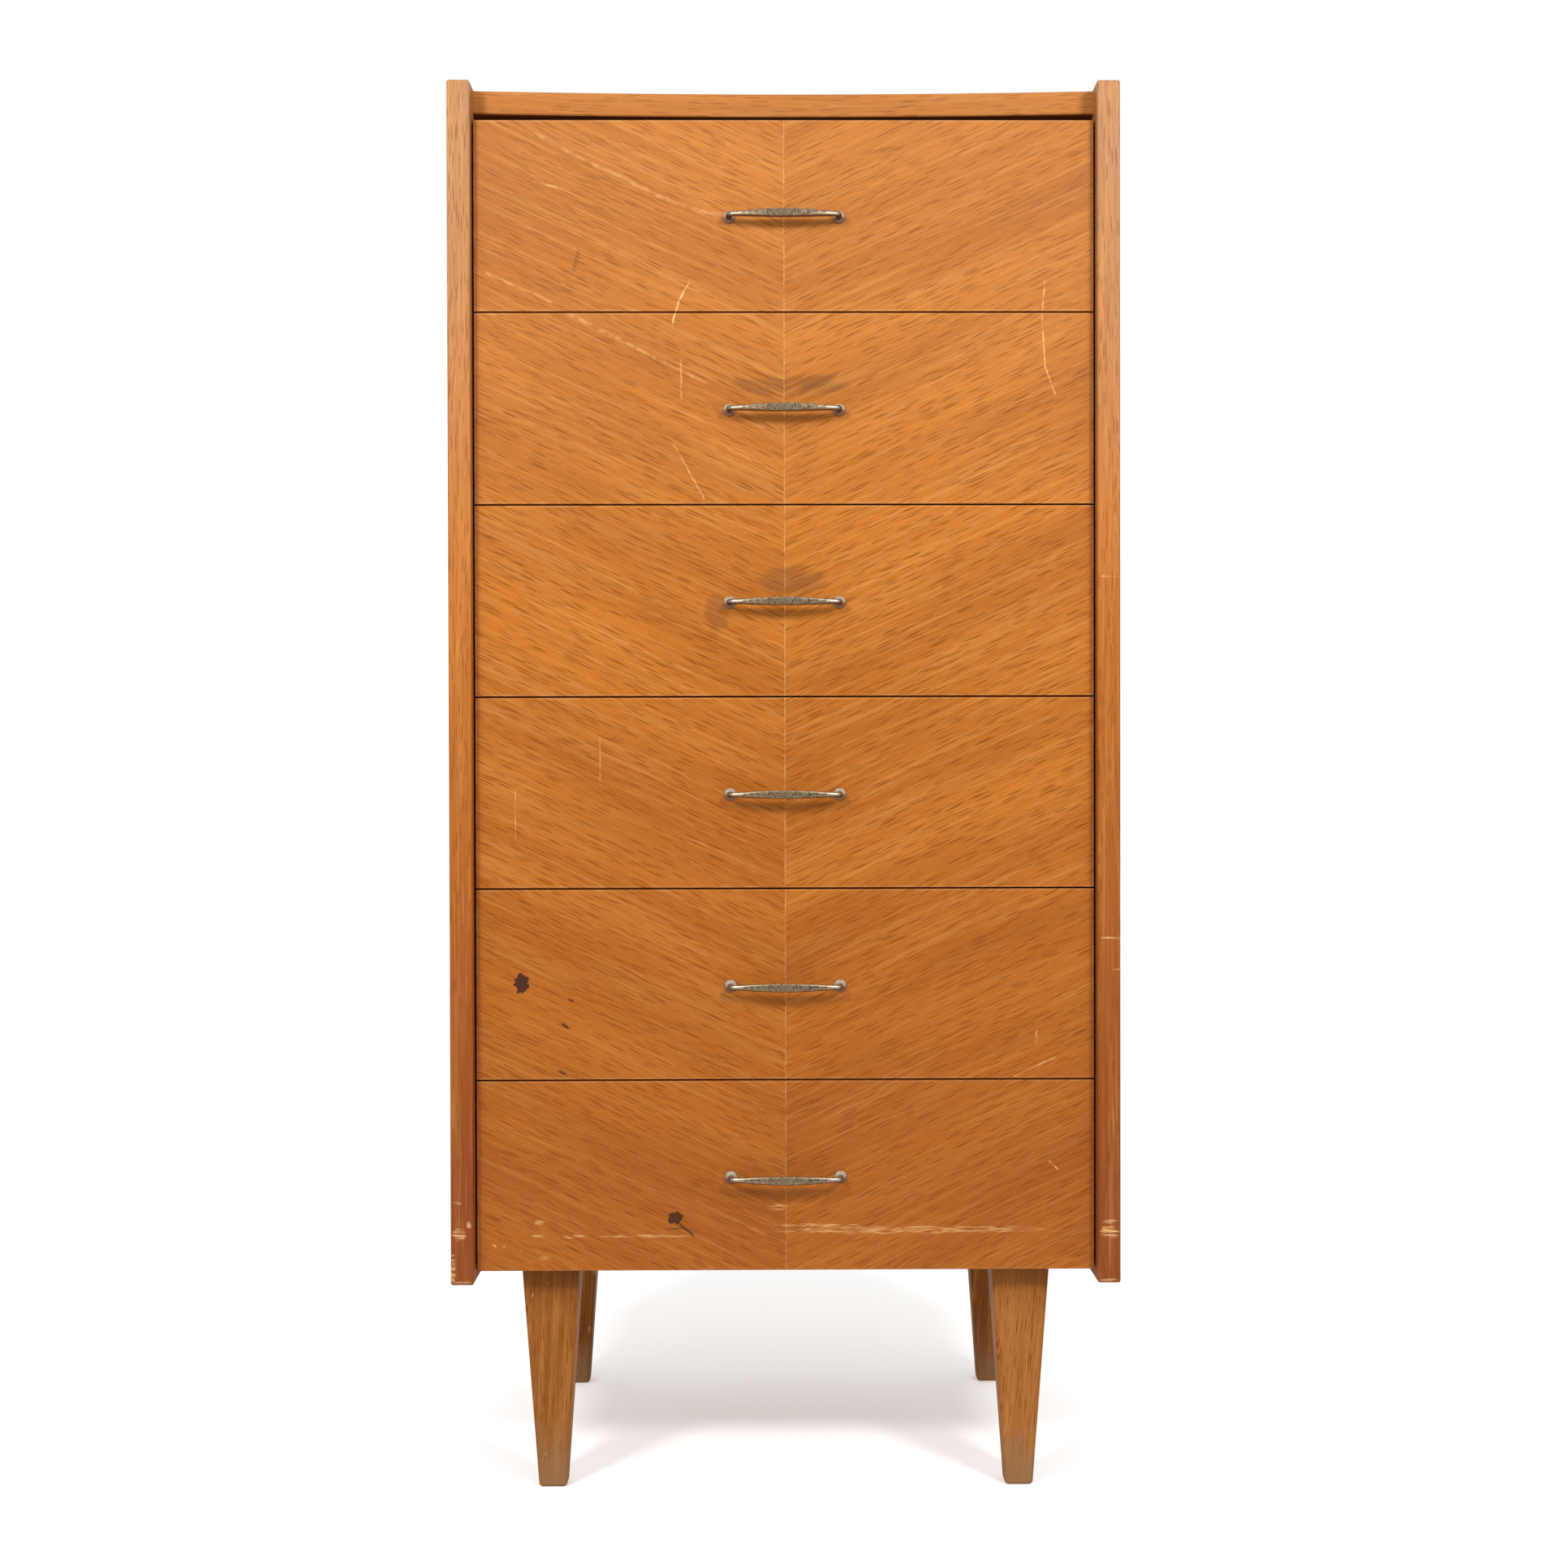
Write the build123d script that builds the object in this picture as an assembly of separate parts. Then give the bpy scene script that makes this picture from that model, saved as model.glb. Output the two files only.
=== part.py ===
from build123d import *
from math import cos, radians, sin, tan
import os

# Tall chest of six drawers in veneered oak on four tapered legs, one solid per physical piece.
# X runs to the right, Y to the back and Z up. The origin is on the floor, under the centre of the chest.
# All sizes are in millimetres.

# Carcass
WIDTH = 585.0  # over the two side panels
DEPTH = 400.0  # of a side panel with its lipping
HEIGHT = 1240.0  # floor to the upper ends of the side panels
BOARD = 20.0  # thickness of the carcass boards
SIDE_FOOT = 192.0  # floor to the lower ends of the side panels
BOARD_ROUNDING = 2.0  # radius on the exposed edges of the side panels
LIPPING = 6.0  # solid strip on the front edges of the boards
TOP_DROP = 2.9  # top panel below the ends of the side panels
TOP_SETBACK = 22.0  # front corners of the top panel behind the side panels
TOP_HOLLOW = 9.0  # depth of the hollow curve along the front of the top panel
TOP_BEVEL = 1.0  # on the front edges of the top panel
BACK_BOARD = 5.0  # plywood back
BACK_REBATE = 8.0  # width of the rebate that holds the back
BACK_GAP = 0.5  # play of the back in its rebate

# Drawer fronts
DRAWERS = 6
FRONT_BOARD = 18.0
FRONT_SETBACK = 11.0  # faces of the drawer fronts behind the side panels
FRONT_GAP = 1.2  # between one front and the next
FRONT_SIDE_GAP = 1.5  # between a front and a side panel
FRONT_LIFT = 9.8  # lowest front above the ends of the side panels
SHADOW_GAP = 8.8  # between the top panel and the highest front
FRONT_ROUNDING = 0.8

# Drawer boxes
BOX_BOARD = 12.0  # sides and back
BOX_LENGTH = 350.0  # back of the front to the rear end of the box
BOX_CLEARANCE = 3.0  # between the box and a side panel
BOX_FOOT = 26.0  # box above the lower edge of its front
BOX_HEADROOM = 15.0  # box below the upper edge of its front
HOUSING = 6.0  # depth of the housings that the front has for the sides and the bottom
BOTTOM_SHEET = 4.0
BOTTOM_LIFT = 8.0  # groove for the bottom above the lower edge of the box
BOTTOM_GROOVE = 5.0  # depth of that groove in a side
BOTTOM_PLAY = 0.5  # bottom short of the ends of its grooves
GROOVE_PLAY = 0.2  # groove higher than the sheet in it
TAILS = 3  # dovetails on each rear corner
PIN_ROOT = 14.0  # width of a pin where it leaves the back
TAIL_FLARE = 2.5  # spread of a dovetail on each side

# Wooden runners
RUNNER_HEIGHT = 16.0
RUNNER_REACH = 9.0  # out of the side panel
RUNNER_HOUSING = 3.0  # depth of the housing that a side panel has for a runner
RUNNER_LENGTH = 330.0
RUNNER_PLAY = 0.3  # between a runner and its groove, above and below
RUNNER_END_PLAY = 1.0  # between a runner and the floor of its groove
RUNNER_STOP = 0.5  # front end of a runner behind the closed drawer front
RUNNER_CHAMFER = 1.0

# Legs
FRONT_LEG_INSET = 84.0  # axis of a front leg from the outside of its side panel
REAR_LEG_INSET = 77.5
LEG_FRONT_CLEARANCE = 1.5  # top of a front leg behind the drawer fronts
LEG_BACK_INSET = 36.0  # axis of a rear leg before the back of the side panels
LEG_TOP_WIDTH = 52.0
LEG_TOP_DEPTH = 48.0
LEG_FOOT_WIDTH = 25.0
LEG_FOOT_DEPTH = 22.0
LEG_EDGE = 4.0  # radius on the long edges of a leg
FOOT_ROUNDING = 3.6
PANEL_REVEAL = 2.2  # bottom panel above the lower edge of the lowest front
PANEL_SETBACK = 1.0  # bottom panel behind the closed drawer boxes' fronts

# Bow handles
HANDLE_SPACING = 96.0  # between the axes of the two posts
HANDLE_DROP = 1.6  # posts below the middle of the drawer front
HANDLE_STANDOFF = 12.5  # ends of the bar's axis before the drawer front
BAR_TILT = 11.0  # degrees that the ends of the bowed bar turn from its middle
BAR_HEIGHT = 7.4  # at the middle of the bar
BAR_DEPTH = 5.0  # at the middle of the bar
BAR_EDGE = 1.1  # rounding of the bar's edges at its middle
ROD_RADIUS = 2.3  # of the bends and the ends of the bar
ROD_ROUNDNESS = 0.96  # rounding of the bar's edges at its ends, as a share of that radius
BEND_RADIUS = 5.5  # of the bends along their centreline
FLARE_RADIUS = 4.4  # of the flared posts, where they stand on their rosettes
ROSETTE_RADIUS = 5.65
ROSETTE_EDGE = 0.8  # height of the rim of a rosette
ROSETTE_BEVEL = 0.7  # on the upper edge of that rim

# Fasteners
FASTENER_PLAY = 0.05  # between a fastener and its hole
HANDLE_SCREW_RADIUS = 1.5
HANDLE_SCREW_GRIP = 5.5  # length in the handle's post
HANDLE_SCREW_HEAD = 3.4
HANDLE_SCREW_HEAD_HEIGHT = 2.4
LEG_BOLT_RADIUS = 4.0
LEG_BOLT_HEAD = 8.0
LEG_BOLT_HEAD_HEIGHT = 5.0  # sunk into the bottom panel
LEG_BOLT_LENGTH = 65.0
DOWEL_RADIUS = 4.0
DOWEL_IN_SIDE = 12.0
DOWEL_IN_PANEL = 24.0
DOWEL_INSET = 70.0  # first and last dowel from the ends of a panel's edge
DOWELS = 3  # along each joint

# Places worked out from the sizes above
BEND_TURN = 90 - BAR_TILT
BAR_REACH = HANDLE_SPACING / 2 - BEND_RADIUS * (1 - cos(radians(BEND_TURN)))
BAR_BOW = BAR_REACH * tan(radians(BAR_TILT / 2))
HANDLE_PROJECTION = HANDLE_STANDOFF + BAR_BOW + BAR_DEPTH / 2
OVERHANG = HANDLE_PROJECTION - FRONT_SETBACK
FRONT_Y = -(DEPTH - OVERHANG) / 2
REAR_Y = FRONT_Y + DEPTH
INNER_X = WIDTH / 2 - BOARD
TOP_Z = HEIGHT - TOP_DROP
CEILING_Z = TOP_Z - BOARD
LOWEST_FRONT_Z = SIDE_FOOT + FRONT_LIFT
HIGHEST_FRONT_Z = CEILING_Z - SHADOW_GAP
FRONT_HEIGHT = (HIGHEST_FRONT_Z - LOWEST_FRONT_Z - (DRAWERS - 1) * FRONT_GAP) / DRAWERS
FRONT_WIDTH = 2 * (INNER_X - FRONT_SIDE_GAP)
BOX_Y = FRONT_Y + FRONT_SETBACK + FRONT_BOARD
FRONT_LEG_X = WIDTH / 2 - FRONT_LEG_INSET
REAR_LEG_X = WIDTH / 2 - REAR_LEG_INSET
PANEL_Z = LOWEST_FRONT_Z + PANEL_REVEAL
PANEL_FRONT_Y = BOX_Y + PANEL_SETBACK
BACK_Y = REAR_Y - BACK_BOARD
BACK_TOP_Z = CEILING_Z + BACK_REBATE

# Drawer box, from the lower edge of its front and the back of that front
BOX_X = INNER_X - BOX_CLEARANCE
BOX_INNER_X = BOX_X - BOX_BOARD
BOX_TOP = FRONT_HEIGHT - BOX_HEADROOM
SHEET_Z = BOX_FOOT + BOTTOM_LIFT
BACK_FOOT = SHEET_Z + BOTTOM_SHEET
TAIL_PITCH = (BOX_TOP - BACK_FOOT) / TAILS
TAIL_ROOT_Y = BOX_LENGTH - BOX_BOARD
RUNNER_Z = BACK_FOOT + TAIL_PITCH * (TAILS // 2 + 0.5)
RUNNER_GROOVE = RUNNER_REACH - BOX_CLEARANCE + RUNNER_END_PLAY
HANDLE_Z = FRONT_HEIGHT / 2 - HANDLE_DROP


def block(x, y, z):
    """A box between two values on each axis."""
    size = [high - low for low, high in (x, y, z)]
    middle = [(low + high) / 2 for low, high in (x, y, z)]
    return Pos(*middle) * Box(*size)


def spread(first, last, count):
    """Evenly spaced values from the first to the last."""
    return [first + (last - first) * i / (count - 1) for i in range(count)]


def mirrored(shape):
    """The same piece on the other side of the chest."""
    return mirror(shape, about=Plane.YZ)


def turned(points):
    """A solid of revolution about Z, from the points of its half section."""
    return revolve(make_face(Plane.XZ * Polyline(*points, close=True)), Axis.Z)


def leg_bolt(play=0.0):
    """A bolt that points down, with its sunk head level with Z = 0."""
    head, shank = LEG_BOLT_HEAD + play, LEG_BOLT_RADIUS + play
    seat, end = -LEG_BOLT_HEAD_HEIGHT, -LEG_BOLT_LENGTH - play
    return turned([(0, 0), (head, 0), (head, seat), (shank, seat), (shank, end), (0, end)])


def handle_screw(play=0.0):
    """A machine screw along -Y: its head seats on the back of a front and its end is in the handle's post."""
    r = HANDLE_SCREW_RADIUS + play
    end = FRONT_BOARD + HANDLE_SCREW_GRIP + play
    points = [(0, -end), (r, -end), (r, 0)]
    if not play:
        head, rim = HANDLE_SCREW_HEAD, HANDLE_SCREW_HEAD_HEIGHT
        points += [(head, 0), (head, rim), (0, rim)]
        return Rot(X=-90) * turned(points)
    return Rot(X=-90) * turned([*points, (0, 0)])


def dowel(play=0.0):
    """A dowel along X that crosses the inner face of the right side panel at X = 0."""
    length = DOWEL_IN_PANEL + DOWEL_IN_SIDE + 2 * play
    middle = (DOWEL_IN_SIDE - DOWEL_IN_PANEL) / 2
    return Pos(middle, 0, 0) * Rot(Y=90) * Cylinder(DOWEL_RADIUS + play, length)


def dowel_places():
    """Where the dowels cross the inner face of the right side panel."""
    joints = ((FRONT_Y + TOP_SETBACK, REAR_Y, CEILING_Z), (PANEL_FRONT_Y, BACK_Y, PANEL_Z))
    return [
        Pos(INNER_X, y, z + BOARD / 2)
        for low, high, z in joints
        for y in spread(low + DOWEL_INSET, high - DOWEL_INSET, DOWELS)
    ]


def drawer_z(number):
    """Lower edge of a drawer's front; drawer 1 is the highest."""
    return HIGHEST_FRONT_Z - number * FRONT_HEIGHT - (number - 1) * FRONT_GAP


def runner_places():
    """Front ends of the runners, on the inner face of the right side panel."""
    return [Pos(INNER_X, BOX_Y + RUNNER_STOP, drawer_z(n) + RUNNER_Z) for n in range(1, DRAWERS + 1)]


def leg_places():
    """Axes of the legs, by name."""
    front = BOX_Y + LEG_FRONT_CLEARANCE + LEG_TOP_DEPTH / 2
    rear = REAR_Y - LEG_BACK_INSET
    return {
        "front_left": (-FRONT_LEG_X, front),
        "front_right": (FRONT_LEG_X, front),
        "rear_left": (-REAR_LEG_X, rear),
        "rear_right": (REAR_LEG_X, rear),
    }


def leg_bolt_places():
    """Heads of the bolts that hold the legs, level with the top of the bottom panel."""
    return [Pos(x, y, PANEL_Z + BOARD) for x, y in leg_places().values()]


def at(places, tool):
    """Copies of one solid."""
    return [place * tool for place in places]


def side_panel():
    """The right side panel and the lipping along its front edge."""
    board = block((INNER_X, WIDTH / 2), (FRONT_Y, REAR_Y), (SIDE_FOOT, HEIGHT))
    exposed = [e for e in board.edges() if e.center().Y < REAR_Y - BOARD_ROUNDING]
    board = fillet(exposed, BOARD_ROUNDING)
    rebate = (INNER_X, INNER_X + BACK_REBATE), (BACK_Y, REAR_Y), (PANEL_Z, BACK_TOP_Z)
    board -= block(*rebate)
    board -= at(dowel_places(), dowel(FASTENER_PLAY))
    board -= at(runner_places(), runner())
    front = block((0, WIDTH), (FRONT_Y - LIPPING, FRONT_Y + LIPPING), (0, 2 * HEIGHT))
    return board - front, board & front


def plan(front, rear, hollow):
    """A board's outline from above, with a hollow front edge."""
    corners = (-INNER_X, front), (-INNER_X, rear), (INNER_X, rear), (INNER_X, front)
    edge = ThreePointArc(corners[3], (0, front + hollow), corners[0])
    return make_face(Polyline(*corners) + edge)


def top_panel():
    """The top panel, with its hollow front edge, and the lipping that follows that edge."""
    front = FRONT_Y + TOP_SETBACK
    whole = Pos(0, 0, CEILING_Z) * extrude(plan(front, REAR_Y, TOP_HOLLOW), BOARD)
    core = Pos(0, 0, CEILING_Z) * extrude(plan(front + LIPPING, REAR_Y, TOP_HOLLOW), BOARD)
    lipping = whole - core
    curve = lipping.edges().filter_by(GeomType.CIRCLE).sort_by(Axis.Y)[:2]
    lipping = chamfer(curve, TOP_BEVEL)
    core -= block((-INNER_X, INNER_X), (BACK_Y, REAR_Y), (CEILING_Z, BACK_TOP_Z))
    for hole in at(dowel_places(), dowel(FASTENER_PLAY)):
        core -= [hole, mirrored(hole)]
    return core, lipping


def bottom_panel():
    """The board that carries the legs, hidden behind the lowest drawer front."""
    panel = block((-INNER_X, INNER_X), (PANEL_FRONT_Y, BACK_Y), (PANEL_Z, PANEL_Z + BOARD))
    for hole in at(dowel_places(), dowel(FASTENER_PLAY)):
        panel -= [hole, mirrored(hole)]
    return panel - at(leg_bolt_places(), leg_bolt(FASTENER_PLAY))


def back_panel():
    """The plywood back, in the rebates of the side panels and the top."""
    half = INNER_X + BACK_REBATE - BACK_GAP
    return block((-half, half), (BACK_Y, REAR_Y), (PANEL_Z, BACK_TOP_Z - BACK_GAP))


def runner():
    """A runner glued into the right side panel, from its front end on that panel's inner face."""
    half = RUNNER_HEIGHT / 2
    strip = block((-RUNNER_REACH, RUNNER_HOUSING), (0, RUNNER_LENGTH), (-half, half))
    inner = strip.faces().sort_by(Axis.X)[0]
    return chamfer(inner.edges(), RUNNER_CHAMFER)


def tapered(plane, foot, top):
    """A slab with the outline of a leg as it is seen on one upright plane."""
    outline = Polyline((-foot / 2, 0), (foot / 2, 0), (top / 2, PANEL_Z), (-top / 2, PANEL_Z), close=True)
    return extrude(make_face(plane * outline), LEG_TOP_WIDTH, both=True)


def leg():
    """A leg of square section that tapers to its foot, on its own axis."""
    post = tapered(Plane.XZ, LEG_FOOT_WIDTH, LEG_TOP_WIDTH) & tapered(Plane.YZ, LEG_FOOT_DEPTH, LEG_TOP_DEPTH)
    post = fillet([e for e in post.edges() if e.length > LEG_TOP_WIDTH], LEG_EDGE)
    post = fillet(post.faces().sort_by(Axis.Z)[0].edges(), FOOT_ROUNDING)
    return post - Pos(0, 0, PANEL_Z + BOARD) * leg_bolt(FASTENER_PLAY)


def drawer_front():
    """A drawer front, housed at the back for the sides and the bottom and drilled for the handle."""
    half = FRONT_WIDTH / 2
    board = block((-half, half), (-FRONT_BOARD, 0), (0, FRONT_HEIGHT))
    board = fillet(board.faces().sort_by(Axis.Y)[0].edges(), FRONT_ROUNDING)
    side = block((BOX_INNER_X, BOX_X), (-HOUSING, 0), (BOX_FOOT, BOX_TOP))
    sheet = (SHEET_Z, SHEET_Z + BOTTOM_SHEET + GROOVE_PLAY)
    groove = block((-BOX_INNER_X, BOX_INNER_X), (-HOUSING, 0), sheet)
    holes = at(handle_screw_places(), handle_screw(FASTENER_PLAY))
    return board - [side, mirrored(side), groove, *holes]


def dovetails():
    """The tails on the rear end of the right side of a drawer."""
    root, end = (TAIL_PITCH - PIN_ROOT) / 2, (TAIL_PITCH - PIN_ROOT) / 2 + TAIL_FLARE
    outline = Polyline(
        (TAIL_ROOT_Y, -root), (BOX_LENGTH, -end), (BOX_LENGTH, end), (TAIL_ROOT_Y, root), close=True)
    tail = Pos(BOX_INNER_X, 0, 0) * extrude(make_face(Plane.YZ * outline), BOX_BOARD)
    return [Pos(0, 0, BACK_FOOT + TAIL_PITCH * (i + 0.5)) * tail for i in range(TAILS)]


def drawer_side():
    """The right side of a drawer, grooved outside for its runner and inside for the bottom."""
    across = (BOX_INNER_X, BOX_X)
    board = block(across, (-HOUSING, TAIL_ROOT_Y), (BOX_FOOT, BOX_TOP))
    board += block(across, (TAIL_ROOT_Y, BOX_LENGTH), (BOX_FOOT, BACK_FOOT))
    board += dovetails()
    half = RUNNER_HEIGHT / 2 + RUNNER_PLAY
    outside = (BOX_X - RUNNER_GROOVE, BOX_X)
    board -= block(outside, (0, BOX_LENGTH), (RUNNER_Z - half, RUNNER_Z + half))
    sheet = (SHEET_Z, SHEET_Z + BOTTOM_SHEET + GROOVE_PLAY)
    return board - block((BOX_INNER_X, BOX_INNER_X + BOTTOM_GROOVE), (-HOUSING, BOX_LENGTH), sheet)


def drawer_back():
    """The back of a drawer, with the pins between the dovetails of its sides."""
    board = block((-BOX_X, BOX_X), (TAIL_ROOT_Y, BOX_LENGTH), (BACK_FOOT, BOX_TOP))
    for tail in dovetails():
        board -= [tail, mirrored(tail)]
    return board


def drawer_bottom():
    """The sheet that lies in the grooves of a drawer and under its back."""
    half = BOX_INNER_X + BOTTOM_GROOVE - BOTTOM_PLAY
    shoulder = BOX_INNER_X - BOTTOM_PLAY
    z = (SHEET_Z, SHEET_Z + BOTTOM_SHEET)
    tongue = block((-shoulder, shoulder), (-HOUSING + BOTTOM_PLAY, 0), z)
    return block((-half, half), (0, BOX_LENGTH), z) + tongue


def handle_screw_places():
    """Seats of a handle's screws on the back of its drawer front."""
    return [Pos(s * HANDLE_SPACING / 2, 0, HANDLE_Z) for s in (-1, 1)]


def handle_post():
    """The right post of a handle, flared onto its rosette, with the bend that leads into the bar."""
    rise = HANDLE_STANDOFF - BEND_RADIUS * sin(radians(BEND_TURN))
    top = ROSETTE_EDGE + ROSETTE_BEVEL
    rim, bevel = (ROSETTE_RADIUS, ROSETTE_EDGE), (ROSETTE_RADIUS - ROSETTE_BEVEL, top)
    foot, neck = (FLARE_RADIUS, top), (ROD_RADIUS, rise)
    hollow = (ROD_RADIUS + (FLARE_RADIUS - ROD_RADIUS) / 3, top + (rise - top) / 3)
    outline = Polyline(neck, (0, rise), (0, 0), (ROSETTE_RADIUS, 0), rim, bevel, foot)
    outline += ThreePointArc(foot, hollow, neck)
    post = revolve(make_face(Plane.XZ * outline), Axis.Z)
    post -= Cylinder(HANDLE_SCREW_RADIUS + FASTENER_PLAY, 2 * (HANDLE_SCREW_GRIP + FASTENER_PLAY))
    centre = Axis((-BEND_RADIUS, 0, rise), (0, -1, 0))
    bend = revolve(Pos(0, 0, rise) * Circle(ROD_RADIUS), centre, BEND_TURN)
    return Pos(HANDLE_SPACING / 2, 0, 0) * (post + bend)


def handle_bar():
    """The bowed bar of a handle, in nine sections: round at its ends, high and flat-faced at its middle."""
    radius = BAR_REACH / sin(radians(BAR_TILT))
    drop = HANDLE_STANDOFF - radius * cos(radians(BAR_TILT))
    sections = []
    for share in spread(-1, 1, 9):
        turn = radians(BAR_TILT * share)
        swell = (1 - share**2) ** 1.5
        height = 2 * ROD_RADIUS + (BAR_HEIGHT - 2 * ROD_RADIUS) * swell
        depth = 2 * ROD_RADIUS + (BAR_DEPTH - 2 * ROD_RADIUS) * swell
        edge = ROD_RADIUS * ROD_ROUNDNESS
        edge += (BAR_EDGE - edge) * swell
        centre = (radius * sin(turn), 0, drop + radius * cos(turn))
        place = Plane(centre, x_dir=(0, 1, 0), z_dir=(cos(turn), 0, -sin(turn)))
        sections.append(place * RectangleRounded(height, depth, edge))
    return loft(sections, ruled=True)


def handle():
    """A whole handle, on the face of its drawer front."""
    post = handle_post()
    whole = post + mirrored(post) + handle_bar()
    return Pos(0, -FRONT_BOARD, HANDLE_Z) * Rot(X=90) * whole


def drawer():
    """The pieces of one drawer, from the lower edge of its front."""
    side = drawer_side()
    return {
        "front": drawer_front(),
        "side_left": mirrored(side),
        "side_right": side,
        "back": drawer_back(),
        "bottom": drawer_bottom(),
        "handle": handle(),
        "handle_screws": Compound(children=at(handle_screw_places(), handle_screw())),
    }


def carcass():
    """Every piece that stays still."""
    side, lipping = side_panel()
    top, top_lipping = top_panel()
    runners = at(runner_places(), runner())
    dowels = at(dowel_places(), dowel())
    pieces = {
        "side_panel_left": mirrored(side),
        "side_panel_right": side,
        "side_lipping_left": mirrored(lipping),
        "side_lipping_right": lipping,
        "top_panel": top,
        "top_lipping": top_lipping,
        "bottom_panel": bottom_panel(),
        "back_panel": back_panel(),
        "runners_left": Compound(children=[mirrored(r) for r in runners]),
        "runners_right": Compound(children=runners),
        "leg_bolts": Compound(children=at(leg_bolt_places(), leg_bolt())),
        "panel_dowels": Compound(children=dowels + [mirrored(d) for d in dowels]),
    }
    for name, (x, y) in leg_places().items():
        pieces[f"leg_{name}"] = Pos(x, y, 0) * leg()
    return pieces


def main():
    os.makedirs("parts", exist_ok=True)
    pieces = carcass()
    for number in range(1, DRAWERS + 1):
        place = Pos(0, BOX_Y, drawer_z(number))
        for name, shape in drawer().items():
            pieces[f"drawer_{number}_{name}"] = place * shape
    for name, shape in pieces.items():
        export_step(shape, f"parts/{name}.step")


main()
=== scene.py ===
import math

import bmesh
import bpy
from mathutils import Matrix, Vector


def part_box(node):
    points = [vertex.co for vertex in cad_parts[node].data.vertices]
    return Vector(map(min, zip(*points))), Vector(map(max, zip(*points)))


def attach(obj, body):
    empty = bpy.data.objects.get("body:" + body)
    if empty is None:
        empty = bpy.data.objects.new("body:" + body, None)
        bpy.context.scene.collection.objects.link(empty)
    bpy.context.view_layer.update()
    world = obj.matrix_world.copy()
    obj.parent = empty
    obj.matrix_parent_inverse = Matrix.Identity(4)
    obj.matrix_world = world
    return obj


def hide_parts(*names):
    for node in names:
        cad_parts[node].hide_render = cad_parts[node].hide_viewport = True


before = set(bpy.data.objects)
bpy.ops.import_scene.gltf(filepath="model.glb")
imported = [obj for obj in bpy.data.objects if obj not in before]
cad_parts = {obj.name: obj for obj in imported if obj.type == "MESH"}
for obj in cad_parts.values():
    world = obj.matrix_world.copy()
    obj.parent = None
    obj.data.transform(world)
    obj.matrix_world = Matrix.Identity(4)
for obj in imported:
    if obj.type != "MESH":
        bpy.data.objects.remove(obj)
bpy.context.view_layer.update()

# Looks of a tall oak chest of six drawers. All lengths are in metres, in the frame of the CAD model.
DRAWERS = 6

# Camera, fitted to the photograph's straight edges
CAMERA_PLACE = (-0.0156, -1.9959, 0.6476)
CAMERA_LENS = 47.48  # millimetres, like the width of its sensor
CAMERA_SENSOR = 36.0
CAMERA_DOWN = math.radians(0.602)
CAMERA_RIGHT = math.radians(0.465)
CAMERA_ROLL = math.radians(-0.128)

# Studio
WORLD_BRIGHTNESS = 1.0
FLOOR_RADIUS = 9.0
FLOOR_SIDES = 96
FLOOR_GLOW = 0.3
FLOOR_COLOUR = (0.74, 0.74, 0.736)
KEY_PLACE = (0.95, -1.5, 1.55)  # the other key light is its mirror image
KEY_TARGET = (0.0, -0.2, 1.0)
KEY_SIZE = 0.35
KEY_POWER = 25.0

# Book-matched veneer of the drawer fronts
CHEVRON_SLOPE = math.radians(25)
SEAM_HALF_WIDTH = 0.0007
SHADED_SIDE = 0.008  # width of the painted shade along the sides of a front, beside the proud side lippings
EDGE_WEAR_AND_HIGHLIGHT = (0.0022, 0.001)  # distances from an edge at which its wear and painted highlight begin and are full
SHADED_EDGE = 0.0009  # width of the painted shade on the edge itself, in the gaps between the fronts

# Patterns of the grain, in repeats to the metre along it and across it
WAVES = (5.0, 8.0)
BANDS = (2.4, 18.0)
STREAKS = (7.0, 170.0)
LINES = (10.0, 560.0)
FIBRES = (20.0, 1500.0)
COARSE_PORES = (32.0, 520.0)
FINE_PORES = (42.0, 850.0)
WAVE_WIDTH = 0.006
GRAIN_SKEW = 0.83  # share of the second axis in the place across the grain
GRAIN_CHANGE = 3.0  # change of the pattern to the metre through the wood

# Depth of the relief of each surface
LACQUERED_DEPTH = 0.00002
BARE_DEPTH = 0.00003
LEG_DEPTH = 0.00005
BRASS_DEPTH = 0.00005
STEEL_DEPTH = 0.00002
FLOOR_DEPTH = 0.0002

# Clouded and speckled surfaces, in repeats to the metre
LEG_RUB = (70.0, 70.0, 45.0)
SHEET_DUST = 4.0
BRASS_SPECKLE = 520.0
BRASS_CLOUD = 170.0
STEEL_CLOUD = 300.0
FLOOR_CLOUD = 3.0

# Heights at which the painted sheen above and the painted shade below on the oak, the painted shadow at the
# tops of the legs and the wear of their feet begin and are full
SHEEN_HEIGHTS = (0.7, 1.3)
SHADE_HEIGHTS = (0.85, 0.2)
LEG_SHADE_HEIGHTS = (0.15, 0.2)
LEG_WORN_HEIGHTS = (0.07, 0.004)

# Unevenness of the marks of wear, in repeats to the metre
WANDER = 60.0
GAPS = 170.0
CRUMBS = 230.0
SCUFFS = (70.0, 520.0)

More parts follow.
